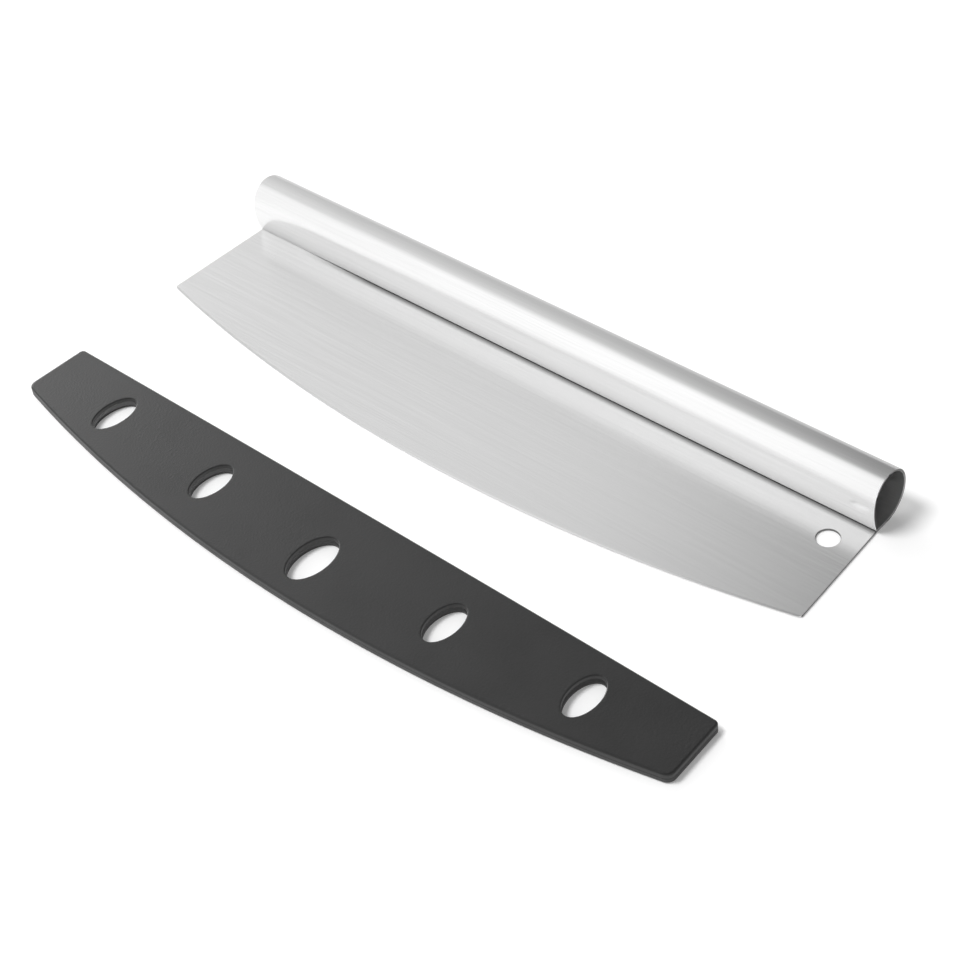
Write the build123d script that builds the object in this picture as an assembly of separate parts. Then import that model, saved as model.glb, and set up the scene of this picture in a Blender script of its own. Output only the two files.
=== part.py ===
from build123d import *
import os
from math import asin, degrees, radians, sqrt, tan

# Knife: one steel sheet, with its handle rolled from the same metal
handle_length = 350.0
sheet_thickness = 1.0
blade_depth = 74.9
end_depth = 54.6
end_splay_angle = 2.8
blade_corner_radius = 2.0
bevel_width = 0.8
edge_thickness = 0.3

# Rolled handle, seen from its end: Y runs away from the cutting edge, Z up
handle_height = 25.9
handle_back = 20.1
handle_front = 2.1
crown_place = 8.2
foot_place = 7.6
widest_height = 13.2
lip_gap = 0.6

# Hanging hole, from the end of the handle and from the seam
hang_hole_radius = 5.0
hang_hole_from_end = 13.2
hang_hole_from_seam = 13.9

# Cover: two moulded shells that meet at mid thickness
cover_thickness = 5.1
cover_wall = 2.0
cover_side_play = 2.45
cover_arc_play = 2.05
covered_depth = 48.1
cover_mouth_bow = 0.6
cover_mouth_radius = 2.2
cover_tip_radius = 4.0
cover_rim_radius = 0.9

# Oval holes of the cover: place from the middle one, half width, walls to the open edge and the arch, lean
outer_hole_place = 134.1
outer_hole_half_width = 6.5
outer_hole_mouth_wall = 9.2
outer_hole_arch_wall = 8.9
outer_hole_lean = 2.7
inner_hole_place = 67.0
inner_hole_half_width = 6.6
inner_hole_mouth_wall = 13.5
inner_hole_arch_wall = 13.4
inner_hole_lean = 0.5
middle_hole_half_width = 8.0
middle_hole_mouth_wall = 17.6
middle_hole_arch_wall = 8.15
hole_row_shift = -1.0
hole_rim_radius = 0.5

# How the cover lies beside the knife: gap from the cutting edge, sideways shift, turn in degrees
cover_gap = 40.1
cover_shift = 5.5
cover_turn = -0.54

# The knife rises by this share of its way as it slides into the cover, clear of both slot walls
slide_slope_share = 0.025
slot_clearance = 0.35

# One allowance by which every cutting tool passes the faces it cuts
overrun = 1.0

splay = tan(radians(end_splay_angle))
half_tip = handle_length / 2 + splay * end_depth
arch_rise = blade_depth - end_depth
cutting_radius = (half_tip**2 + arch_rise**2) / (2 * arch_rise)
cutting_centre = cutting_radius - blade_depth
cover_start = blade_depth - covered_depth
slide_length = cover_gap + blade_depth - cover_start
slot_floor = slide_slope_share * cover_gap - slot_clearance
slot_ceiling = sheet_thickness + slide_slope_share * slide_length + slot_clearance


def handle_solid():
    """The roll: flat foot, back, crown and front wall, down to the free lip over the seam."""
    front_rise = widest_height - sheet_thickness - lip_gap
    front_radius = (handle_front**2 + front_rise**2) / (2 * handle_front)
    front_centre = (front_radius - handle_front, widest_height)
    front_angle = degrees(asin(front_rise / front_radius))
    foot_centre = (foot_place, widest_height)
    crown_centre = (crown_place, widest_height)

    def wall(inset):
        """Foot, back, crown and front of the roll, at a depth of inset inside its outer face."""
        rise = handle_height - widest_height - inset
        fall = widest_height - inset
        foot = EllipticalCenterArc(foot_centre, handle_back - foot_place - inset, fall, 270, arc_size=90)
        back = EllipticalCenterArc(crown_centre, handle_back - crown_place - inset, rise, 0, arc_size=90)
        crown = EllipticalCenterArc(crown_centre, crown_place + handle_front - inset, rise, 90, arc_size=90)
        front = CenterArc(front_centre, front_radius - inset, 180, front_angle)
        return [foot, back, crown, front]

    with BuildPart() as handle:
        with BuildSketch(Plane.YZ):
            with BuildLine():
                outside = wall(0)
                inside = wall(sheet_thickness)
                Line(outside[3] @ 1, inside[3] @ 1)
                Polyline(outside[0] @ 0, (0, 0), (0, sheet_thickness), inside[0] @ 0)
            make_face()
        extrude(amount=handle_length / 2, both=True)
    return handle.part


def blade_solid():
    """The flat lower part of the sheet, with straight splayed ends and an arched edge."""
    half_top = handle_length / 2
    left_tip = (-half_tip, -end_depth)
    right_tip = (half_tip, -end_depth)
    with BuildPart() as blade:
        with BuildSketch() as plan:
            with BuildLine():
                Polyline(left_tip, (-half_top, 0), (half_top, 0), right_tip)
                ThreePointArc(right_tip, (0, -blade_depth), left_tip)
            make_face()
            fillet(plan.vertices().group_by(Axis.Y)[0], blade_corner_radius)
        extrude(amount=sheet_thickness)
    return blade.part


def bevel_tool():
    """The ring that is ground off the top of the cutting edge."""
    tip = (sheet_thickness + edge_thickness) / 2
    inner = cutting_radius - bevel_width
    outer = cutting_radius + overrun
    above = sheet_thickness + overrun
    with BuildPart() as ring:
        with BuildSketch(Plane.XZ):
            with BuildLine():
                Polyline((inner, sheet_thickness), (cutting_radius, tip), (outer, tip), (outer, above),
                         (inner, above), close=True)
            make_face()
        revolve(axis=Axis.Z)
    return ring.part.moved(Location((0, cutting_centre, 0)))


def knife_solid():
    """Blade, handle, ground edge and hanging hole in one piece."""
    top_bevel = bevel_tool()
    low_bevel = top_bevel.mirror(Plane.XY.offset(sheet_thickness / 2))
    hole_place = Location((handle_length / 2 - hang_hole_from_end, -hang_hole_from_seam, sheet_thickness / 2))
    hole = Cylinder(hang_hole_radius, sheet_thickness + 2 * overrun).moved(hole_place)
    return handle_solid() + blade_solid() - top_bevel - low_bevel - hole


def cover_corner(inset):
    """Half width at the open edge, half width and depth where side meets arch, lowest point of the arch."""
    half_open = handle_length / 2 + splay * cover_start + cover_side_play + cover_wall - inset
    radius = cutting_radius + cover_arc_play + cover_wall - inset
    centre = cutting_centre + cover_start
    slope = splay * half_open + centre
    steep = 1 + splay**2
    depth = (sqrt(slope**2 - steep * (half_open**2 + centre**2 - radius**2)) - slope) / steep
    return half_open, half_open + splay * depth, depth, centre - radius


def hole_span(place, mouth_wall, arch_wall):
    """Depth of an oval hole's middle below the open edge and its half height, between its two walls."""
    radius = cutting_radius + cover_arc_play + cover_wall
    reach = sqrt(radius**2 - place**2) - cutting_centre - cover_start
    half_height = (reach - mouth_wall - arch_wall) / 2
    return mouth_wall + half_height, half_height


def cover_outside():
    """The whole cover as one plate with rounded rims and its five oval holes."""
    half_open, half_wide, depth, lowest = cover_corner(0)
    outer_depth, outer_height = hole_span(outer_hole_place, outer_hole_mouth_wall, outer_hole_arch_wall)
    inner_depth, inner_height = hole_span(inner_hole_place, inner_hole_mouth_wall, inner_hole_arch_wall)
    middle_depth, middle_height = hole_span(0, middle_hole_mouth_wall, middle_hole_arch_wall)
    with BuildPart() as plate:
        with BuildSketch() as plan:
            with BuildLine():
                ThreePointArc((-half_open, 0), (0, cover_mouth_bow), (half_open, 0))
                Line((half_open, 0), (half_wide, -depth))
                ThreePointArc((half_wide, -depth), (0, lowest), (-half_wide, -depth))
                Line((-half_wide, -depth), (-half_open, 0))
            make_face()
            fillet(plan.vertices().group_by(Axis.Y)[0], cover_tip_radius)
            fillet(plan.vertices().group_by(Axis.Y)[-1], cover_mouth_radius)
        extrude(amount=cover_thickness)
        rims = plate.faces().group_by(Axis.Z)
        fillet(rims[-1].edges() + rims[0].edges(), cover_rim_radius)
        with BuildSketch(Plane.XY):
            for side in (-1, 1):
                with Locations((hole_row_shift + side * outer_hole_place, -outer_depth)):
                    Ellipse(outer_hole_half_width, outer_height, rotation=side * outer_hole_lean)
                with Locations((hole_row_shift + side * inner_hole_place, -inner_depth)):
                    Ellipse(inner_hole_half_width, inner_height, rotation=side * inner_hole_lean)
            with Locations((hole_row_shift, -middle_depth)):
                Ellipse(middle_hole_half_width, middle_height)
        extrude(amount=cover_thickness, mode=Mode.SUBTRACT)
        ovals = plate.edges().filter_by(GeomType.ELLIPSE).group_by(Axis.Z)
        fillet(ovals[-1] + ovals[0], hole_rim_radius)
    return plate.part


def slot_tool():
    """The space for the blade: level above, rising below along the way that the knife takes."""
    half_open, half_wide, depth, lowest = cover_corner(cover_wall)
    half_front = half_open - splay * overrun
    with BuildPart() as slot:
        with BuildSketch() as plan:
            with BuildLine():
                side = Line((half_wide, -depth), (half_front, overrun))
                other_side = Line((-half_wide, -depth), (-half_front, overrun))
                Line(side @ 1, other_side @ 1)
                ThreePointArc(side @ 0, (0, lowest), other_side @ 0)
            make_face()
            fillet(plan.vertices().group_by(Axis.Y)[0], cover_tip_radius - cover_wall)
        extrude(amount=cover_thickness)
        floor_front = slot_floor - slide_slope_share * overrun
        floor_back = slot_floor - slide_slope_share * lowest
        with BuildSketch(Plane.YZ):
            with BuildLine():
                Polyline((overrun, floor_front), (lowest, floor_back), (lowest, slot_ceiling),
                         (overrun, slot_ceiling), close=True)
            make_face()
        extrude(amount=half_wide, both=True, mode=Mode.INTERSECT)
    return slot.part


def build():
    """All three pieces in place, each written to its own file."""
    cover = cover_outside() - slot_tool()
    halves = Plane.XY.offset(cover_thickness / 2)
    beside = Location((cover_shift, -blade_depth - cover_gap, 0), (0, 0, cover_turn))
    pieces = {
        "knife_sheet": knife_solid(),
        "cover_top_shell": cover.split(halves, keep=Keep.TOP).moved(beside),
        "cover_bottom_shell": cover.split(halves, keep=Keep.BOTTOM).moved(beside),
    }
    # The origin is on the table, under the middle of all three pieces
    middle = Compound(list(pieces.values())).bounding_box().center()
    home = Location((-middle.X, -middle.Y, 0))
    os.makedirs("parts", exist_ok=True)
    for name, piece in pieces.items():
        placed = piece.moved(home)
        placed.label = name
        export_step(placed, f"parts/{name}.step")
        size = placed.bounding_box().size
        print(name, len(placed.solids()), "solid", round(size.X, 2), round(size.Y, 2), round(size.Z, 2))
    print("moved by", round(-middle.X, 4), round(-middle.Y, 4))


build()
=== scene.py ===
from math import atan2, cos, degrees, hypot, pi, radians, sin, sqrt, tan

import bmesh
import bpy
from mathutils import Matrix, Vector


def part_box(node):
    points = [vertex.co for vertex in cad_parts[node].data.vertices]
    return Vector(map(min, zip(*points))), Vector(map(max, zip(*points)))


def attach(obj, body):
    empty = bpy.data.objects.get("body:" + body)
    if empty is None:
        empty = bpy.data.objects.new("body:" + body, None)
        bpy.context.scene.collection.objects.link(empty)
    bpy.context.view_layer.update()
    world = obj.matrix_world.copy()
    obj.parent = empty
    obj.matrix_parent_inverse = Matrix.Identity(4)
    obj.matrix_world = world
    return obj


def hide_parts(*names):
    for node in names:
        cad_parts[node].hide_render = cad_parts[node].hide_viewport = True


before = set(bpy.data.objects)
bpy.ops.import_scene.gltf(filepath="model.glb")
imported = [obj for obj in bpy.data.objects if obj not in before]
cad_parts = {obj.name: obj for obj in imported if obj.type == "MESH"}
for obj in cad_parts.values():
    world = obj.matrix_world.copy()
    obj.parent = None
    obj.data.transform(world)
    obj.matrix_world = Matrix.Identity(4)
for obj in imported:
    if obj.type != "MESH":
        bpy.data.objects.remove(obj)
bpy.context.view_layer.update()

# Knife: one sheet of steel. Lengths in metres, angles in degrees
knife = {
    "handleLength": 0.350,
    "sheet": 0.001,
    "rollBack": 0.0201,         # roll behind the seam
    "rollFront": 0.0021,        # roll bulging out over the blade
    "crownY": 0.0082,
    "footY": 0.0076,
    "widestZ": 0.0132,
    "endDepth": 0.0546,         # blade ends, from the seam
    "endSplay": 2.8,
    "cornerRadius": 0.002,
    "grindWidth": 0.0008,
    "tipThickness": 0.0003,
    "holeRadius": 0.005,
    "holeFromEnd": 0.0132,
    "holeFromSeam": 0.0139,
    "lipGap": 0.0003,
    "lipGapClosed": 0.00006,    # the lip meets the blade towards the left end
    "lipClosesFrom": -0.118,
    "lipClosesTo": -0.150,
    "deburr": 0.00012,
    "bevelMark": 0.2,           # the ground edge is toned less than the cut faces
    "endSteps": 8,              # steps along each end of the blade
    "cornerSteps": 10,
    "archSteps": 90,            # steps in half of the cutting edge
    "holeSteps": 96,
    "stations": 48,             # steps along the roll
    "arcSteps": 36,             # steps in each curve of the roll
    "sharpAngle": 9,            # folds of more than this are drawn sharp
}

# Cover: two shells with five oval windows
cover = {
    "thickness": 0.0051,
    "wall": 0.002,
    "sidePlay": 0.00245,
    "arcPlay": 0.00205,
    "coveredDepth": 0.0481,
    "mouthBow": 0.0006,
    "mouthRadius": 0.0022,
    "tipRadius": 0.004,
    "rimRadius": 0.0009,
    "windowRim": 0.0005,
    "seamChamfer": 0.00014,     # both shells are eased where they meet
    "flatBand": 0.0004,         # flat strip beside each rounded rim
    "gap": 0.0401,              # from the cutting edge to the open edge
    "shift": 0.0055,
    "turn": -0.54,
    "slideSlope": 0.025,
    "slotClearance": 0.0001,
    "overrun": 0.001,
    "rimSteps": 6,
    "cornerSteps": 8,
    "mouthSteps": 40,
    "archSteps": 120,
    "windowSteps": 96,
    "mouthTrim": 1.1,           # the mouth stops short of each rounded corner by this many radii
    "archTrim": 1.4,            # and so does the arch
    "sharpAngle": 30,
    # place along the cover, depth from the open edge, half width, half height, lean
    "windows": [(0.1341, 0.0205, 0.0065, 0.0113, 2.7), (0.0670, 0.0247, 0.0066, 0.0112, 0.5)],
    "middleWindow": (0.0, 0.0308, 0.0080, 0.0132, 0.0),
    "windowRowShift": -0.001,
}

weldDistance = 1e-6

# Where the pieces lie, read from the frame
knifeLow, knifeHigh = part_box("knife_sheet")
seamX = (knifeLow.x + knifeHigh.x) / 2
seamY = knifeHigh.y - knife["rollBack"]
bladeDepth = seamY - knifeLow.y
rollHeight = knifeHigh.z
halfHandle = knife["handleLength"] / 2
splay = tan(radians(knife["endSplay"]))
halfTip = halfHandle + splay * knife["endDepth"]
archRise = bladeDepth - knife["endDepth"]
archRadius = (halfTip**2 + archRise**2) / (2 * archRise)
archCentre = archRadius - bladeDepth


def newPiece(name, mesh):
    piece = bpy.data.objects.new(name, mesh)
    bpy.context.scene.collection.objects.link(piece)
    return piece


def arcPoints(centre, semiY, semiZ, start, end, steps):
    # points of an ellipse arc in the section plane, both ends included
    points = []
    for i in range(steps + 1):
        angle = radians(start + (end - start) * i / steps)
        points.append((centre[0] + semiY * cos(angle), centre[1] + semiZ * sin(angle)))
    return points


def lipGapAt(x):
    share = (knife["lipClosesFrom"] - x) / (knife["lipClosesFrom"] - knife["lipClosesTo"])
    share = min(max(share, 0.0), 1.0)
    share = share * share * (3 - 2 * share)
    return knife["lipGap"] + (knife["lipGapClosed"] - knife["lipGap"]) * share


def rollPath(inset, gap):
    # the sheet's face at a depth of inset inside the outer one, from the seam round to the free lip
    steps = knife["arcSteps"]
    widest = knife["widestZ"]
    rise = rollHeight - widest - inset
    frontRise = widest - knife["sheet"] - gap
    frontRadius = (knife["rollFront"]**2 + frontRise**2) / (2 * knife["rollFront"])
    frontAngle = degrees(atan2(frontRise, frontRadius - knife["rollFront"]))
    back = knife["rollBack"] - inset
    front = knife["rollFront"] - inset
    crown = (knife["crownY"], widest)
    path = [(0.0, inset)]
    path += arcPoints((knife["footY"], widest), back - knife["footY"], widest - inset, 270, 360, steps)
    path += arcPoints(crown, back - crown[0], rise, 0, 90, steps)[1:]
    path += arcPoints(crown, crown[0] + front, rise, 90, 180, steps)[1:]
    path += arcPoints((frontRadius - knife["rollFront"], widest), frontRadius - inset, frontRadius - inset,
                      180, 180 + frontAngle, steps)[1:]
    return path


def stationList():
    # places along the roll, with the inset of the eased ends
    edge = knife["deburr"]
    count = knife["stations"]
    inner = halfHandle - edge
    middle = [(-inner + 2 * inner * i / count, 0.0) for i in range(count + 1)]
    return [(-halfHandle, edge)] + middle + [(halfHandle, edge)]


def addRoll(mesh, across, cut, inside):
    # rings round the sheet's section, joined along the handle, with closed ends; cut faces are marked
    sheet = knife["sheet"]
    rings = []
    for x, edge in stationList():
        gap = lipGapAt(x)
        path = rollPath(edge, gap)
        reach = [0.0]
        for (y0, z0), (y1, z1) in zip(path, path[1:]):
            reach.append(reach[-1] + hypot(y1 - y0, z1 - z0))
        outer = [mesh.verts.new((x, y, z)) for y, z in path]
        inner = [mesh.verts.new((x, y, z)) for y, z in rollPath(sheet - edge, gap)]
        for i, length in enumerate(reach):
            outer[i][across] = inner[i][across] = length
        rings.append((outer, inner))
    for (outerA, innerA), (outerB, innerB) in zip(rings, rings[1:]):
        loopA = outerA + innerA[::-1]
        loopB = outerB + innerB[::-1]
        for i in range(len(loopA) - 1):
            face = mesh.faces.new((loopA[i], loopA[i + 1], loopB[i + 1], loopB[i]))
            face[inside] = 1 if i >= len(outerA) else 0
    for outer, inner in (rings[0], rings[-1]):
        for i in range(len(outer) - 1):
            mesh.faces.new((outer[i], outer[i + 1], inner[i + 1], inner[i]))[cut] = 1


def depthOnEndLine(half, radius, centre):
    # depth at which a splayed end line, half wide at the top, crosses a circle round the arch's centre
    steep = 1 + splay**2
    slope = splay * half + centre
    rest = half**2 + centre**2 - radius**2
    return (sqrt(slope**2 - steep * rest) - slope) / steep


def bladeRim():
    # outline of the blade's right half: outer point, point where the flat face ends, outer point's height
    edge = knife["deburr"]
    sheet = knife["sheet"]
    corner = knife["cornerRadius"]
    innerRadius = archRadius - knife["grindWidth"]
    crease = depthOnEndLine(halfHandle, innerRadius, archCentre)
    rim = []
    steps = knife["endSteps"]
    for i in range(steps + 1):
        depth = crease * i / steps
        x = halfHandle + splay * depth
        rim.append(((x, -depth), (x - edge, -depth), sheet - edge))
    innerLimit = rim[-1][1][0]
    # corner arc, tangent to the end line and to the arch
    norm = sqrt(1 + splay**2)
    outward = Vector((1, splay)) / norm
    startX = halfHandle - outward.x * corner
    startY = -outward.y * corner
    along = Vector((splay, -1)) / norm
    reach = archRadius - corner
    half = startX * along.x + (startY - archCentre) * along.y
    rest = startX**2 + (startY - archCentre)**2 - reach**2
    travel = sqrt(half**2 - rest) - half
    centre = Vector((startX, startY)) + along * travel
    firstAngle = atan2(outward.y, outward.x)
    lastAngle = atan2(centre.y - archCentre, centre.x)
    cornerSteps = knife["cornerSteps"]
    outline = []
    for i in range(cornerSteps + 1):
        angle = firstAngle + (lastAngle - firstAngle) * i / cornerSteps
        outline.append(centre + Vector((cos(angle), sin(angle))) * corner)
    archSteps = knife["archSteps"]
    for i in range(1, archSteps + 1):
        angle = lastAngle + (-pi / 2 - lastAngle) * i / archSteps
        outline.append(Vector((archRadius * cos(angle), archCentre + archRadius * sin(angle))))
    for point in outline:
        away = point - Vector((0, archCentre))
        reached = away.length
        inner = Vector((0, archCentre)) + away * (innerRadius / reached)
        worn = min(max((reached - innerRadius) / knife["grindWidth"], 0), 1)
        height = sheet - (sheet - knife["tipThickness"]) / 2 * worn
        rim.append(((point.x, point.y), (min(inner.x, innerLimit), inner.y), min(height, sheet - edge)))
    return rim


def addBlade(mesh, cut):
    sheet = knife["sheet"]
    edge = knife["deburr"]
    rim = bladeRim()
    rim += [((-o[0], o[1]), (-i[0], i[1]), h) for o, i, h in rim[-2::-1]]
    loops = [[mesh.verts.new((i[0], i[1], sheet)) for o, i, h in rim],
             [mesh.verts.new((o[0], o[1], h)) for o, i, h in rim],
             [mesh.verts.new((o[0], o[1], sheet - h)) for o, i, h in rim],
             [mesh.verts.new((i[0], i[1], 0)) for o, i, h in rim]]
    for upper, lower, sheared in zip(loops, loops[1:], (False, True, False)):
        for k in range(len(rim) - 1):
            atEnd = sheared and min(k, len(rim) - 2 - k) < knife["endSteps"]
            face = mesh.faces.new((upper[k], upper[k + 1], lower[k + 1], lower[k]))
            face[cut] = 1 if atEnd else knife["bevelMark"]
    # hanging hole, with eased rims
    holeX = halfHandle - knife["holeFromEnd"]
    holeY = -knife["holeFromSeam"]
    holeSteps = knife["holeSteps"]
    holes = []
    for grow, z in ((edge, sheet), (0, sheet - edge), (0, edge), (edge, 0)):
        radius = knife["holeRadius"] + grow
        ring = []
        for i in range(holeSteps):
            angle = 2 * pi * i / holeSteps
            ring.append(mesh.verts.new((holeX + radius * cos(angle), holeY + radius * sin(angle), z)))
        holes.append(ring)
    for upper, lower in zip(holes, holes[1:]):
        for i in range(holeSteps):
            j = (i + 1) % holeSteps
            mesh.faces.new((upper[i], upper[j], lower[j], lower[i]))[cut] = 1
    # flat faces of the blade, from the seam's stations to the rim and round the hole
    for flat, hole, z in ((loops[0], holes[0], sheet), (loops[3], holes[3], 0.0)):
        seam = [mesh.verts.new((x, 0, z)) for x, e in stationList()[2:-2]]
        border = flat + seam
        edges = []
        for a, b in zip(border, border[1:] + border[:1]):
            edges.append(mesh.edges.get((a, b)) or mesh.edges.new((a, b)))
        for a, b in zip(hole, hole[1:] + hole[:1]):
            edges.append(mesh.edges.get((a, b)) or mesh.edges.new((a, b)))
        bmesh.ops.triangle_fill(mesh, use_beauty=True, use_dissolve=False, edges=edges)


def addSheetUv(mesh, across):
    # u along the handle and v across the sheet, for the direction of the brushing
    layer = mesh.loops.layers.uv.new("sheet")
    for face in mesh.faces:
        for loop in face.loops:
            loop[layer].uv = (loop.vert.co.x, loop.vert[across])


def buildKnife():
    mesh = bmesh.new()
    across = mesh.verts.layers.float.new("across")
    cut = mesh.faces.layers.float.new("cut")
    inside = mesh.faces.layers.float.new("inside")
    addRoll(mesh, across, cut, inside)
    rollCount = len(mesh.verts)
    addBlade(mesh, cut)
    mesh.verts.ensure_lookup_table()
    for vert in mesh.verts[rollCount:]:
        vert[across] = vert.co.y
    bmesh.ops.remove_doubles(mesh, verts=mesh.verts, dist=weldDistance)
    bmesh.ops.recalc_face_normals(mesh, faces=mesh.faces)
    addSheetUv(mesh, across)
    bmesh.ops.translate(mesh, verts=mesh.verts, vec=(seamX, seamY, 0))
    for face in mesh.faces:
        face.smooth = True
    data = bpy.data.meshes.new("knifeSheet")
    openEdges = sum(1 for e in mesh.edges if len(e.link_faces) != 2)
    mesh.to_mesh(data)
    mesh.free()
    data.set_sharp_from_angle(angle=radians(knife["sharpAngle"]))
    print("knife sheet:", len(data.polygons), "faces,", openEdges, "open edges")
    return newPiece("knifeSheet", data)


def coverOutline(inset, mouthInset, mouthRadius, tipRadius, mouthY=None):
    # closed outline of the cover, anticlockwise from above, moved inwards by inset
    start = bladeDepth - cover["coveredDepth"]
    halfOpen = halfHandle + splay * start + cover["sidePlay"] + cover["wall"] - inset
    radius = archRadius + cover["arcPlay"] + cover["wall"] - inset
    centre = archCentre + start
    depth = depthOnEndLine(halfOpen, radius, centre)
    halfWide = halfOpen + splay * depth
    bow = cover["mouthBow"] if mouthY is None else 0
    top = -mouthInset if mouthY is None else mouthY
    halfMouth = halfOpen - splay * top
    # mouth, from right to left
    corner = [(halfMouth, top)]
    if mouthRadius:
        corner = cornerArc((halfMouth, top), (splay, -1), (-1, 0), mouthRadius)
    points = list(corner)
    span = halfMouth - cover["mouthTrim"] * mouthRadius
    mouthSteps = cover["mouthSteps"]
    for i in range(1, mouthSteps):
        x = span - 2 * span * i / mouthSteps
        points.append((x, top + bow * (1 - (x / span)**2)))
    points += [(-x, y) for x, y in corner[::-1]]
    # left tip, arch from left to right, right tip
    tipAngle = atan2(halfWide, depth + centre)
    tangent = (-cos(tipAngle), -sin(tipAngle))
    tip = cornerArc((halfWide, -depth), (-splay, 1), tangent, tipRadius)
    points += [(-x, y) for x, y in tip]
    trimmed = tipAngle - cover["archTrim"] * tipRadius / radius
    archSteps = cover["archSteps"]
    for i in range(archSteps + 1):
        angle = -trimmed + 2 * trimmed * i / archSteps
        points.append((radius * sin(angle), centre - radius * cos(angle)))
    return points + tip[::-1]


def cornerArc(corner, towardA, towardB, radius):
    # arc that rounds a corner, from the side towards A to the side towards B
    a = Vector(towardA).normalized()
    b = Vector(towardB).normalized()
    half = a.angle(b) / 2
    reach = radius / tan(half)
    bisector = (a + b).normalized()
    centre = Vector(corner) + bisector * (radius / sin(half))
    first = Vector(corner) + a * reach - centre
    last = Vector(corner) + b * reach - centre
    turn = first.angle_signed(last)
    steps = cover["cornerSteps"]
    points = []
    for i in range(steps + 1):
        angle = -turn * i / steps
        x = first.x * cos(angle) - first.y * sin(angle)
        y = first.x * sin(angle) + first.y * cos(angle)
        points.append((centre.x + x, centre.y + y))
    return points


def lineMesh(name, points, closed):
    data = bpy.data.meshes.new(name)
    count = len(points)
    edges = [(i, i + 1) for i in range(count - 1)]
    if closed:
        edges.append((count - 1, 0))
    data.from_pydata(points, edges, [])
    return newPiece(name, data)


def slotSolid(material):
    # the space for the blade: level above, its floor rising along the way that the knife takes
    ceiling = (knife["sheet"] + cover["slotClearance"]
               + cover["slideSlope"] * (cover["gap"] + cover["coveredDepth"]))
    floor = cover["slideSlope"] * cover["gap"] - cover["slotClearance"]
    outline = coverOutline(cover["wall"], 0, 0, cover["tipRadius"] - cover["wall"], cover["overrun"])
    count = len(outline)
    verts = [(x, y, floor - cover["slideSlope"] * y) for x, y in outline]
    verts += [(x, y, ceiling) for x, y in outline]
    faces = [tuple(range(count))[::-1], tuple(range(count, 2 * count))]
    faces += [(i, (i + 1) % count, count + (i + 1) % count, count + i) for i in range(count)]
    data = bpy.data.meshes.new("slotSolid")
    data.from_pydata(verts, [], faces)
    data.materials.append(material)
    return newPiece("slotSolid", data)


def shellProfile(rim, depth, upward):
    # a flat strip, a quarter round, the wall, and the eased edge where the shells meet
    band = cover["flatBand"]
    steps = cover["rimSteps"]
    chamfer = cover["seamChamfer"]
    points = [(0, 0)]
    for i in range(steps + 1):
        angle = pi / 2 * i / steps
        points.append((band + rim * sin(angle), rim * (cos(angle) - 1)))
    points.append((band + rim, chamfer - depth))
    points.append((band + rim - chamfer, -depth))
    return [(x, -y * upward, 0) for x, y in points]


def fill(tree, socket, value):
    # a socket takes a link from another socket, or a plain value
    if isinstance(value, bpy.types.NodeSocket):
        tree.links.new(value, socket)
    else:
        socket.default_value = value


def addNode(tree, kind, settings=None, **values):
    # a node with its settings, and with its inputs filled by name
    node = tree.nodes.new(kind)
    for key, value in (settings or {}).items():
        setattr(node, key, value)
    for key, value in values.items():
        name = key.replace("_", " ")
        fill(tree, next(s for s in node.inputs if s.name == name and s.enabled), value)
    return node


def inOrder(tree, kind, settings, *values):
    # a node with its settings, and with its inputs filled in their order
    node = addNode(tree, kind, settings)
    for socket, value in zip(node.inputs, values):
        fill(tree, socket, value)
    return node.outputs[0]


def calculated(tree, operation, *values):
    return inOrder(tree, "ShaderNodeMath", {"operation": operation}, *values)


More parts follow.
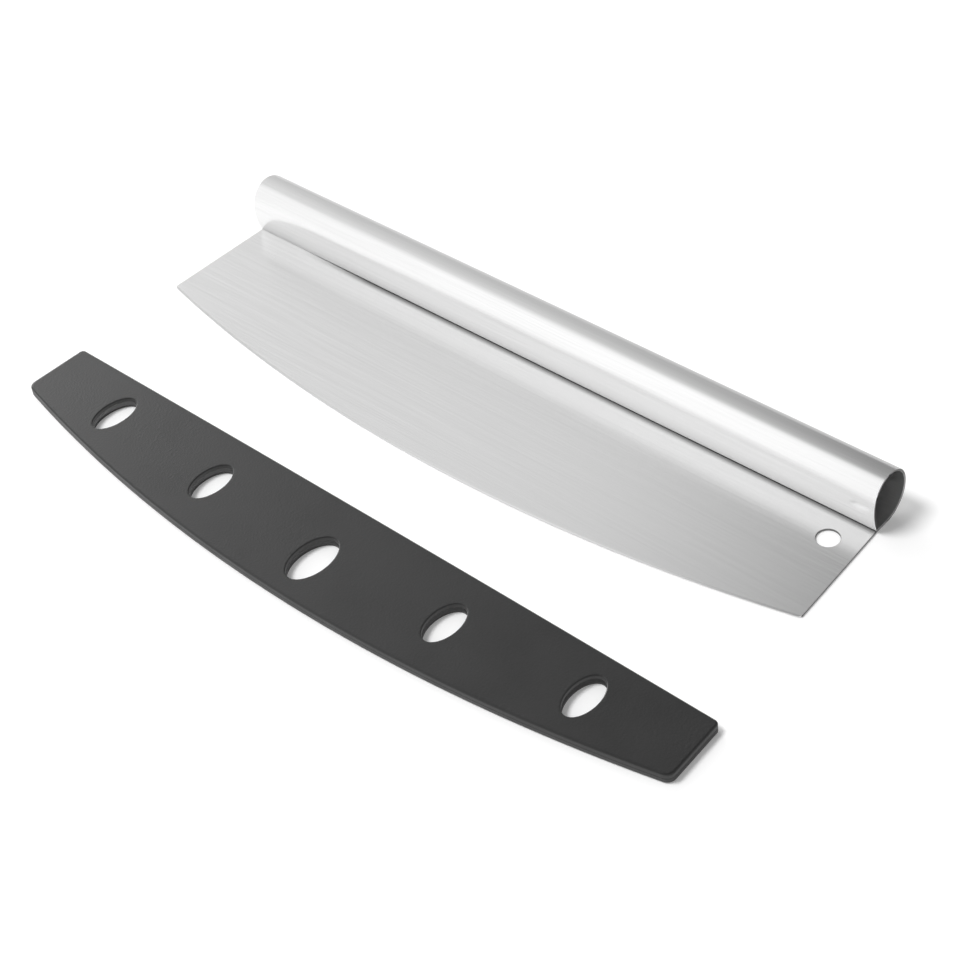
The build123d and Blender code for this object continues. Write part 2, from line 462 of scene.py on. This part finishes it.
def windowedShellTree():
    # Cover shell: a flat face filled between the outline and its oval windows, with swept rims
    tree = bpy.data.node_groups.new("windowedShell", "GeometryNodeTree")
    face = tree.interface
    face.new_socket("Window Points", in_out="INPUT", socket_type="NodeSocketGeometry")
    for name in ("Outline", "Rim Profile", "Window Profile"):
        face.new_socket(name, in_out="INPUT", socket_type="NodeSocketObject")
    for name in ("Face Height", "Seam Height", "Window Growth"):
        face.new_socket(name, in_out="INPUT", socket_type="NodeSocketFloat")
    face.new_socket("Window Resolution", in_out="INPUT", socket_type="NodeSocketInt")
    face.new_socket("Material", in_out="INPUT", socket_type="NodeSocketMaterial")
    face.new_socket("Geometry", in_out="OUTPUT", socket_type="NodeSocketGeometry")
    given = tree.nodes.new("NodeGroupInput").outputs

    def curveOf(name):
        info = addNode(tree, "GeometryNodeObjectInfo", Object=given[name])
        return addNode(tree, "GeometryNodeMeshToCurve", Mesh=info.outputs["Geometry"]).outputs["Curve"]

    def attribute(name):
        node = addNode(tree, "GeometryNodeInputNamedAttribute", {"data_type": "FLOAT"}, Name=name)
        return next(o for o in node.outputs if o.name == "Attribute" and o.enabled)

    # windows: a circle on each point, scaled and leant by the point's own values
    circle = addNode(tree, "GeometryNodeCurvePrimitiveCircle", Resolution=given["Window Resolution"],
                     Radius=1.0)
    growth = given["Window Growth"]
    size = addNode(tree, "ShaderNodeCombineXYZ", X=calculated(tree, "ADD", attribute("halfWidth"), growth),
                   Y=calculated(tree, "ADD", attribute("halfHeight"), growth), Z=1.0)
    turn = addNode(tree, "ShaderNodeCombineXYZ", X=0.0, Y=0.0, Z=attribute("lean"))
    windows = addNode(tree, "GeometryNodeInstanceOnPoints", Points=given["Window Points"],
                      Instance=circle.outputs["Curve"], Rotation=turn.outputs[0], Scale=size.outputs[0])
    windowCurves = addNode(tree, "GeometryNodeRealizeInstances", Geometry=windows.outputs[0]).outputs[0]
    outline = curveOf("Outline")
    lift = addNode(tree, "ShaderNodeCombineXYZ", X=0.0, Y=0.0, Z=given["Face Height"]).outputs[0]

    def swept(curve, profile):
        upright = addNode(tree, "GeometryNodeSetCurveNormal", {"mode": "Z_UP"}, Curve=curve)
        sweep = addNode(tree, "GeometryNodeCurveToMesh", Curve=upright.outputs[0],
                        Profile_Curve=curveOf(profile))
        return addNode(tree, "GeometryNodeSetPosition", Geometry=sweep.outputs[0], Offset=lift).outputs[0]

    def joined(*parts):
        node = tree.nodes.new("GeometryNodeJoinGeometry")
        for part in reversed(parts):
            tree.links.new(part, node.inputs[0])
        return node.outputs[0]

    borders = joined(outline, windowCurves)
    plate = addNode(tree, "GeometryNodeFillCurve", Curve=borders)
    plate = addNode(tree, "GeometryNodeSetPosition", Geometry=plate.outputs[0], Offset=lift).outputs[0]
    bands = joined(swept(outline, "Rim Profile"), swept(windowCurves, "Window Profile"))
    # the far side is filled from the bands' own last edges
    position = tree.nodes.new("GeometryNodeInputPosition").outputs[0]
    place = addNode(tree, "ShaderNodeSeparateXYZ", Vector=position)
    level = addNode(tree, "FunctionNodeCompare", {"data_type": "FLOAT", "operation": "EQUAL"},
                    A=place.outputs["Z"], B=given["Seam Height"], Epsilon=weldDistance)
    far = addNode(tree, "GeometryNodeMeshToCurve", Mesh=bands, Selection=level.outputs[0])
    back = addNode(tree, "GeometryNodeFillCurve", Curve=far.outputs[0])
    backLift = addNode(tree, "ShaderNodeCombineXYZ", X=0.0, Y=0.0, Z=given["Seam Height"]).outputs[0]
    flat = addNode(tree, "GeometryNodeSetPosition", Geometry=back.outputs[0], Offset=backLift).outputs[0]
    solid = addNode(tree, "GeometryNodeMergeByDistance", Geometry=joined(plate, bands, flat),
                    Distance=weldDistance)
    whole = addNode(tree, "GeometryNodeRealizeInstances", Geometry=solid.outputs[0]).outputs[0]
    painted = addNode(tree, "GeometryNodeSetMaterial", Geometry=whole, Material=given["Material"])
    addNode(tree, "NodeGroupOutput", Geometry=painted.outputs[0])
    return tree


def windowPoints():
    # the five windows, as points that carry their own sizes
    rows = [cover["middleWindow"]]
    for along, depth, halfWidth, halfHeight, lean in cover["windows"]:
        for side in (-1, 1):
            rows.append((side * along, depth, halfWidth, halfHeight, side * lean))
    data = bpy.data.meshes.new("windowPoints")
    data.from_pydata([(cover["windowRowShift"] + row[0], -row[1], 0) for row in rows], [], [])
    for name, column in (("halfWidth", 2), ("halfHeight", 3)):
        data.attributes.new(name, "FLOAT", "POINT").data.foreach_set("value", [row[column] for row in rows])
    data.attributes.new("lean", "FLOAT", "POINT").data.foreach_set("value", [radians(row[4]) for row in rows])
    return newPiece("windowPoints", data)


def setInput(modifier, name, value):
    for item in modifier.node_group.interface.items_tree:
        if item.item_type == "SOCKET" and item.in_out == "INPUT" and item.name == name:
            modifier[item.identifier] = value
            return
    raise KeyError(name)


def buildShell(name, tree, points, slot, material, upward):
    half = cover["thickness"] / 2
    # the flat face ends a band's width inside the rounded rims
    inset = cover["rimRadius"] + cover["flatBand"]
    outline = coverOutline(inset, inset, cover["mouthRadius"] - inset, cover["tipRadius"] - inset)
    outlinePiece = lineMesh(name + "Outline", [(x, y, 0) for x, y in outline], True)
    rimPiece = lineMesh(name + "Rim", shellProfile(cover["rimRadius"], half, upward), False)
    windowSide = [(-x, y, z) for x, y, z in shellProfile(cover["windowRim"], half, upward)]
    windowPiece = lineMesh(name + "Window", windowSide, False)
    carrier = newPiece(name + "Carrier", points.data.copy())
    modifier = carrier.modifiers.new("shell", "NODES")
    modifier.node_group = tree
    values = {
        "Outline": outlinePiece,
        "Rim Profile": rimPiece,
        "Window Profile": windowPiece,
        "Face Height": cover["thickness"] if upward > 0 else 0.0,
        "Seam Height": half,
        "Window Growth": cover["windowRim"] + cover["flatBand"],
        "Window Resolution": cover["windowSteps"],
        "Material": material,
    }
    for key, value in values.items():
        setInput(modifier, key, value)
    plate = bpy.data.meshes.new_from_object(carrier.evaluated_get(bpy.context.evaluated_depsgraph_get()))
    carrier.modifiers.remove(modifier)
    for helper in (outlinePiece, rimPiece, windowPiece, carrier):
        bpy.data.objects.remove(helper)
    turnOutwards(plate)
    piece = newPiece(name, plate)
    cut = piece.modifiers.new("slot", "BOOLEAN")
    cut.operation = "DIFFERENCE"
    cut.solver = "EXACT"
    cut.object = slot
    data = bpy.data.meshes.new_from_object(piece.evaluated_get(bpy.context.evaluated_depsgraph_get()))
    piece.modifiers.remove(cut)
    piece.data = data
    bpy.data.meshes.remove(plate)
    data.name = name
    openEdges = turnOutwards(data)
    data.transform(coverPlace())
    data.set_sharp_from_angle(angle=radians(cover["sharpAngle"]))
    print(name + ":", len(data.polygons), "faces,", openEdges, "open edges")
    return piece


def turnOutwards(data):
    mesh = bmesh.new()
    mesh.from_mesh(data)
    bmesh.ops.remove_doubles(mesh, verts=mesh.verts, dist=weldDistance)
    bmesh.ops.recalc_face_normals(mesh, faces=mesh.faces)
    for face in mesh.faces:
        face.smooth = True
    openEdges = sum(1 for e in mesh.edges if len(e.link_faces) != 2)
    mesh.to_mesh(data)
    mesh.free()
    return openEdges


def coverPlace():
    # the cover's own frame, at the middle of its open edge, set beside the knife
    place = Vector((seamX + cover["shift"], seamY - bladeDepth - cover["gap"], 0))
    return Matrix.Translation(place) @ Matrix.Rotation(radians(cover["turn"]), 4, "Z")


# Finishes
steel = {
    "dark": (0.83, 0.83, 0.83, 1),
    "light": (0.895, 0.895, 0.895, 1),
    "roughness": (0.20, 0.26),
    "edgeTint": (0.75, 0.75, 0.75, 1),
    "anisotropic": 0.35,
    "brushLength": 22.0,        # noise scale along the brushing, per metre
    "brushWidth": 3400.0,       # and across it
    "broadLines": 0.17,         # broader lines, as a share of the width's noise scale
    "broadShare": 0.2,          # and their share in the streaks
    "toneSpan": (0.35, 0.65),   # streak values at which the dark and the light tone are reached
    "bump": 0.035,
    "bumpDepth": 0.00001,
    "insideRoughness": 0.45,    # the roll's inside keeps its mill finish
    "cutToneAndShade": 0.20,            # sheared edges: darker for their rough cut, and painted shade for the shaded floor they mirror
    "shadeTone": 0.22,          # soft shade in front of the seam
    "shadeReach": 0.0037,
    "seamWidth": 0.0001,        # the blade ends here, measured across the sheet
    "shadeFade": (-0.146, -0.104),
    "backPaintedShade": (0.90, 0.74),   # painted shade on the roll's back, most at its right
    "backPaintedShadeSpan": (-0.18, 0.06),
    "crownSpan": (0.0450, 0.0530),
    "frontPaintedLight": 1.05,          # and painted light on its front
}

plastic = {
    "dark": (0.007, 0.007, 0.007, 1),
    "light": (0.0105, 0.0105, 0.0105, 1),
    "roughness": (0.38, 0.50),
    "ior": 1.6,
    "grain": 1100.0,            # cells of the moulded grain, per metre
    "fineShare": 0.6,           # finer noise on the cells
    "patches": 45.0,            # broad uneven patches, per metre
    "toneSpan": (0.3, 0.7),
    "bump": 0.32,
    "bumpDepth": 0.00016,
}


def shaderGroup(name, inputs, outputs):
    group = bpy.data.node_groups.new(name, "ShaderNodeTree")
    for label, default in inputs:
        socket = group.interface.new_socket(label, in_out="INPUT", socket_type="NodeSocketFloat")
        socket.default_value = default
    for label in outputs:
        group.interface.new_socket(label, in_out="OUTPUT", socket_type="NodeSocketFloat")
    return group, group.nodes.new("NodeGroupInput"), group.nodes.new("NodeGroupOutput")


def brushingGroup():
    # parallel lines along X, fine and broad
    group, given, out = shaderGroup("brushing", [("Length", 20.0), ("Width", 2000.0)], ["Streak", "Height"])
    place = group.nodes.new("ShaderNodeTexCoord").outputs["Object"]
    lines = []
    for widthShare, detail in ((1.0, 3.0), (steel["broadLines"], 2.0)):
        across = calculated(group, "MULTIPLY", given.outputs["Width"], widthShare)
        scale = addNode(group, "ShaderNodeCombineXYZ", X=given.outputs["Length"], Y=across, Z=across)
        stretched = inOrder(group, "ShaderNodeVectorMath", {"operation": "MULTIPLY"}, place, scale.outputs[0])
        noise = addNode(group, "ShaderNodeTexNoise", Vector=stretched, Scale=1.0, Detail=detail)
        lines.append(noise.outputs["Fac"])
    fine, broad = lines
    streak = calculated(group, "MULTIPLY_ADD", fine, 1 - steel["broadShare"],
                        calculated(group, "MULTIPLY", broad, steel["broadShare"]))
    group.links.new(streak, out.inputs["Streak"])
    group.links.new(fine, out.inputs["Height"])
    return group


def mouldedGrainGroup():
    # small soft cells with finer noise, like moulded leather grain, and broad uneven patches
    sizes = [("Cells", 1000.0), ("Patches", 40.0)]
    group, given, out = shaderGroup("mouldedGrain", sizes, ["Height", "Patch"])
    place = group.nodes.new("ShaderNodeTexCoord").outputs["Object"]
    cells = addNode(group, "ShaderNodeTexVoronoi", {"feature": "SMOOTH_F1"}, Vector=place,
                    Scale=given.outputs["Cells"])
    fine = addNode(group, "ShaderNodeTexNoise", Vector=place, Scale=given.outputs["Cells"], Detail=3.0)
    patch = addNode(group, "ShaderNodeTexNoise", Vector=place, Scale=given.outputs["Patches"], Detail=4.0)
    height = calculated(group, "MULTIPLY_ADD", fine.outputs["Fac"], plastic["fineShare"],
                        cells.outputs["Distance"])
    group.links.new(height, out.inputs["Height"])
    group.links.new(patch.outputs["Fac"], out.inputs["Patch"])
    return group


def newMaterial(name):
    material = bpy.data.materials.new(name)
    material.use_nodes = True
    tree = material.node_tree
    tree.nodes.clear()
    shader = tree.nodes.new("ShaderNodeBsdfPrincipled")
    addNode(tree, "ShaderNodeOutputMaterial", Surface=shader.outputs[0])
    return material, tree, shader


def twoTone(tree, factor, low, high, start, end):
    ramp = tree.nodes.new("ShaderNodeValToRGB")
    ramp.color_ramp.elements[0].position = start
    ramp.color_ramp.elements[0].color = low
    ramp.color_ramp.elements[1].position = end
    ramp.color_ramp.elements[1].color = high
    tree.links.new(factor, ramp.inputs[0])
    return ramp.outputs["Color"]


def ranged(tree, factor, low, high, start=0.3, end=0.7, soft=False):
    # runs from low to high while the factor runs from start to end
    settings = {"interpolation_type": "SMOOTHSTEP" if soft else "LINEAR"}
    node = addNode(tree, "ShaderNodeMapRange", settings, Value=factor, From_Min=start, From_Max=end,
                   To_Min=low, To_Max=high)
    return node.outputs["Result"]


def bumped(tree, shader, height, finish):
    bump = addNode(tree, "ShaderNodeBump", Strength=finish["bump"], Distance=finish["bumpDepth"],
                   Height=height)
    tree.links.new(bump.outputs["Normal"], shader.inputs["Normal"])


def steelMaterial(brushing):
    material, tree, shader = newMaterial("brushedSteel")
    lines = addNode(tree, "ShaderNodeGroup", {"node_tree": brushing}, Length=steel["brushLength"],
                    Width=steel["brushWidth"])
    streak = lines.outputs["Streak"]
    colour = twoTone(tree, streak, steel["dark"], steel["light"], *steel["toneSpan"])
    sheetPlace = addNode(tree, "ShaderNodeUVMap", {"uv_map": "sheet"})
    place = addNode(tree, "ShaderNodeSeparateXYZ", Vector=sheetPlace.outputs[0])
    along = place.outputs["X"]
    across = place.outputs["Y"]
    onBlade = calculated(tree, "LESS_THAN", across, steel["seamWidth"])

    def marked(name):
        return addNode(tree, "ShaderNodeAttribute", {"attribute_name": name}).outputs["Fac"]

    def times(a, b):
        return calculated(tree, "MULTIPLY", a, b)

    # cut faces, and the ground edge in part, are darkened: partly for their rough cut, partly as painted
    # shade
    edgeToneAndShade = ranged(tree, marked("cut"), 1.0, steel["cutToneAndShade"], 0.0, 1.0)
    # shade in front of the seam: none at its left end, full along the rest, and not mirrored by the roll
    fullShade = ranged(tree, along, 1.0, steel["shadeTone"], *steel["shadeFade"])
    nearSeam = times(ranged(tree, across, 0.0, 1.0, -steel["shadeReach"], 0.0, soft=True), onBlade)
    seenDirectly = tree.nodes.new("ShaderNodeLightPath").outputs["Is Camera Ray"]
    shade = ranged(tree, times(nearSeam, seenDirectly), 1.0, fullShade, 0.0, 1.0)
    # painted shade on the roll's back, up to its crown, and painted light on its front
    backShadeAlong = ranged(tree, along, *steel["backPaintedShade"], *steel["backPaintedShadeSpan"])
    rollShadeAndLight = ranged(tree, across, backShadeAlong, steel["frontPaintedLight"], *steel["crownSpan"], soft=True)
    tone = times(edgeToneAndShade, times(shade, calculated(tree, "MAXIMUM", rollShadeAndLight, onBlade)))
    toned = addNode(tree, "ShaderNodeVectorMath", {"operation": "SCALE"}, Vector=colour, Scale=tone)
    tree.links.new(toned.outputs[0], shader.inputs["Base Color"])
    brushed = ranged(tree, streak, *steel["roughness"])
    inside = ranged(tree, marked("inside"), 0.0, steel["insideRoughness"], 0.0, 1.0)
    tree.links.new(calculated(tree, "MAXIMUM", brushed, inside), shader.inputs["Roughness"])
    shader.inputs["Metallic"].default_value = 1.0
    shader.inputs["Specular Tint"].default_value = steel["edgeTint"]
    shader.inputs["Anisotropic"].default_value = steel["anisotropic"]
    shader.inputs["Anisotropic Rotation"].default_value = 0.25    # spread across the brushing
    tangent = addNode(tree, "ShaderNodeTangent", {"direction_type": "UV_MAP", "uv_map": "sheet"})
    tree.links.new(tangent.outputs[0], shader.inputs["Tangent"])
    bumped(tree, shader, lines.outputs["Height"], steel)
    return material


def plasticMaterial(grain):
    material, tree, shader = newMaterial("charcoalPlastic")
    texture = addNode(tree, "ShaderNodeGroup", {"node_tree": grain}, Cells=plastic["grain"],
                      Patches=plastic["patches"])
    patch = texture.outputs["Patch"]
    colour = twoTone(tree, patch, plastic["dark"], plastic["light"], *plastic["toneSpan"])
    tree.links.new(colour, shader.inputs["Base Color"])
    tree.links.new(ranged(tree, patch, *plastic["roughness"]), shader.inputs["Roughness"])
    shader.inputs["IOR"].default_value = plastic["ior"]
    bumped(tree, shader, texture.outputs["Height"], plastic)
    return material


steelFinish = steelMaterial(brushingGroup())
plasticFinish = plasticMaterial(mouldedGrainGroup())
print("finishes made")

knifeSheet = buildKnife()
knifeSheet.data.materials.append(steelFinish)
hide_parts("knife_sheet")
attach(knifeSheet, "knife")

shellTree = windowedShellTree()
points = windowPoints()
slot = slotSolid(plasticFinish)
for name, node, slotName, upward in (("coverTop", "cover_top_shell", "cover_top", 1),
                                     ("coverBottom", "cover_bottom_shell", "cover_bottom", -1)):
    shell = buildShell(name, shellTree, points, slot, plasticFinish, upward)
    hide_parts(node)
    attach(shell, "cover")
    shell.visible_glossy = False    # the photograph shows no mirror image of the cover in the steel
for helper in (points, slot):
    bpy.data.objects.remove(helper)
print("cover made")

# Camera: the photograph's place and direction, from the seam's middle
camera = {
    "place": (0.5062, -0.5158, 0.6202),
    "heading": 46.903,
    "pitch": 43.549,
    "roll": -7.984,
    "lens": 80.651,
    "sensor": 36.0,
    "nearest": 0.01,
}


def addCamera():
    data = bpy.data.cameras.new("camera")
    data.sensor_fit = "HORIZONTAL"
    data.sensor_width = camera["sensor"]
    data.lens = camera["lens"]
    data.clip_start = camera["nearest"]
    view = bpy.data.objects.new("camera", data)
    bpy.context.scene.collection.objects.link(view)
    turn = (Matrix.Rotation(radians(camera["heading"]), 4, "Z")
            @ Matrix.Rotation(radians(90 - camera["pitch"]), 4, "X")
            @ Matrix.Rotation(radians(camera["roll"]), 4, "Z"))
    place = Vector(camera["place"]) + Vector((seamX, seamY, 0))
    view.matrix_world = Matrix.Translation(place) @ turn
    bpy.context.scene.camera = view


# Light and floor
studio = {
    "keyPlace": (-1.0, -0.95, 2.7),
    "keySize": 1.2,
    "keyPower": 57.0,
    "floorSize": 2.0,
    "floorDrop": 0.00005,
    "floorColour": (0.93, 0.93, 0.93, 1),
    "floorLift": 0.12,
    # where metal mirrors the floor, an even white is mixed in by its share, but not closer than this
    "mirroredFloor": 1.03,
    "mirroredShare": 0.65,
    "mirroredFrom": (0.005, 0.03),
    # strength of the studio behind and above, from its left end at -1 to its right end at 1
    "behind": [(-1, 0.75), (-0.66, 0.76), (-0.55, 0.78), (-0.48, 0.77), (-0.44, 0.64), (-0.40, 0.48),
               (-0.37, 0.33), (-0.25, 0.15), (0.1, 0.18), (0.6, 0.5)],
    "above": [(-0.68, 0.97), (-0.60, 1.08), (-0.50, 1.13), (-0.37, 1.18), (-0.28, 0.6), (-0.1, 0.2),
              (0.2, 0.3), (0.7, 0.6)],
    "aboveToward": (-0.883, 0.469),    # Y and Z of the direction that counts as above
    "aboveSpan": (0.32, 0.66),
    # a bright window low at the left
    "window": 7.0,
    "windowSpan": (-0.74, -0.90),
    "windowFrom": (0.0, 0.25),
}


def addFloor():
    bpy.ops.mesh.primitive_plane_add(size=studio["floorSize"], location=(0, 0, -studio["floorDrop"]))
    floor = bpy.context.object
    floor.name = "floor"
    material = bpy.data.materials.new("floorWhite")
    material.use_nodes = True
    tree = material.node_tree
    tree.nodes.clear()
    rays = tree.nodes.new("ShaderNodeLightPath").outputs
    mirrored = calculated(tree, "MAXIMUM", rays["Is Glossy Ray"], rays["Is Transmission Ray"])
    seen = calculated(tree, "MAXIMUM", rays["Is Camera Ray"], mirrored)
    lift = calculated(tree, "MULTIPLY", seen, studio["floorLift"])
    evenness = ranged(tree, rays["Ray Length"], 0.0, studio["mirroredShare"], *studio["mirroredFrom"])
    share = calculated(tree, "MULTIPLY", mirrored, evenness)
    diffuse = addNode(tree, "ShaderNodeBsdfDiffuse", Color=studio["floorColour"])
    glow = addNode(tree, "ShaderNodeEmission", Strength=lift)
    even = addNode(tree, "ShaderNodeEmission", Strength=studio["mirroredFloor"])
    lit = tree.nodes.new("ShaderNodeAddShader")
    tree.links.new(diffuse.outputs[0], lit.inputs[0])
    tree.links.new(glow.outputs[0], lit.inputs[1])
    mixed = tree.nodes.new("ShaderNodeMixShader")
    for socket, source in zip(mixed.inputs, (share, lit.outputs[0], even.outputs[0])):
        tree.links.new(source, socket)
    addNode(tree, "ShaderNodeOutputMaterial", Surface=mixed.outputs[0])
    floor.data.materials.append(material)


def strengthAlong(tree, along, stops):
    # brightness of the studio at each place from its left end to its right end
    most = max(strength for place, strength in stops)
    ramp = tree.nodes.new("ShaderNodeValToRGB")
    elements = ramp.color_ramp.elements
    while len(elements) < len(stops):
        elements.new(0.5)
    for element, (place, strength) in zip(elements, stops):
        element.position = (place + 1) / 2
        element.color = (strength / most, strength / most, strength / most, 1)
    tree.links.new(ranged(tree, along, 0.0, 1.0, -1.0, 1.0), ramp.inputs[0])
    return calculated(tree, "MULTIPLY", ramp.outputs["Color"], most)


def addWorld():
    # a studio that is white overhead and in front, greyer behind, and darker to the right
    world = bpy.data.worlds.new("studio")
    bpy.context.scene.world = world
    world.use_nodes = True
    tree = world.node_tree
    tree.nodes.clear()
    direction = tree.nodes.new("ShaderNodeTexCoord").outputs["Generated"]
    toward = addNode(tree, "ShaderNodeSeparateXYZ", Vector=direction)
    fromLeft = toward.outputs["X"]
    fromFront = toward.outputs["Y"]

    def blended(factor, low, high):
        mix = addNode(tree, "ShaderNodeMix", {"data_type": "FLOAT"}, Factor=factor, A=low, B=high)
        return mix.outputs["Result"]

    shareY, shareZ = studio["aboveToward"]
    height = calculated(tree, "MULTIPLY", toward.outputs["Z"], shareZ)
    side = calculated(tree, "MULTIPLY_ADD", fromFront, shareY, height)
    behind = strengthAlong(tree, fromLeft, studio["behind"])
    above = strengthAlong(tree, fromLeft, studio["above"])
    room = blended(ranged(tree, side, 0.0, 1.0, *studio["aboveSpan"], soft=True), behind, above)
    pane = ranged(tree, fromLeft, 0.0, studio["window"], *studio["windowSpan"], soft=True)
    opening = ranged(tree, fromFront, 0.0, 1.0, *studio["windowFrom"], soft=True)
    total = calculated(tree, "MULTIPLY_ADD", pane, opening, room)
    # seen directly, past the floor, the studio is plain white
    seenDirectly = tree.nodes.new("ShaderNodeLightPath").outputs["Is Camera Ray"]
    background = addNode(tree, "ShaderNodeBackground", Color=(1, 1, 1, 1),
                         Strength=blended(seenDirectly, total, 1.0))
    addNode(tree, "ShaderNodeOutputWorld", Surface=background.outputs[0])


def addKey():
    data = bpy.data.lights.new("key", "AREA")
    data.shape = "DISK"
    data.size = studio["keySize"]
    data.energy = studio["keyPower"]
    lamp = bpy.data.objects.new("key", data)
    bpy.context.scene.collection.objects.link(lamp)
    place = Vector(studio["keyPlace"])
    lamp.matrix_world = Matrix.Translation(place) @ (-place).to_track_quat("-Z", "Y").to_matrix().to_4x4()
    lamp.visible_glossy = False


addCamera()
addFloor()
addWorld()
addKey()
bpy.context.scene.view_settings.view_transform = "Standard"
print("studio made")
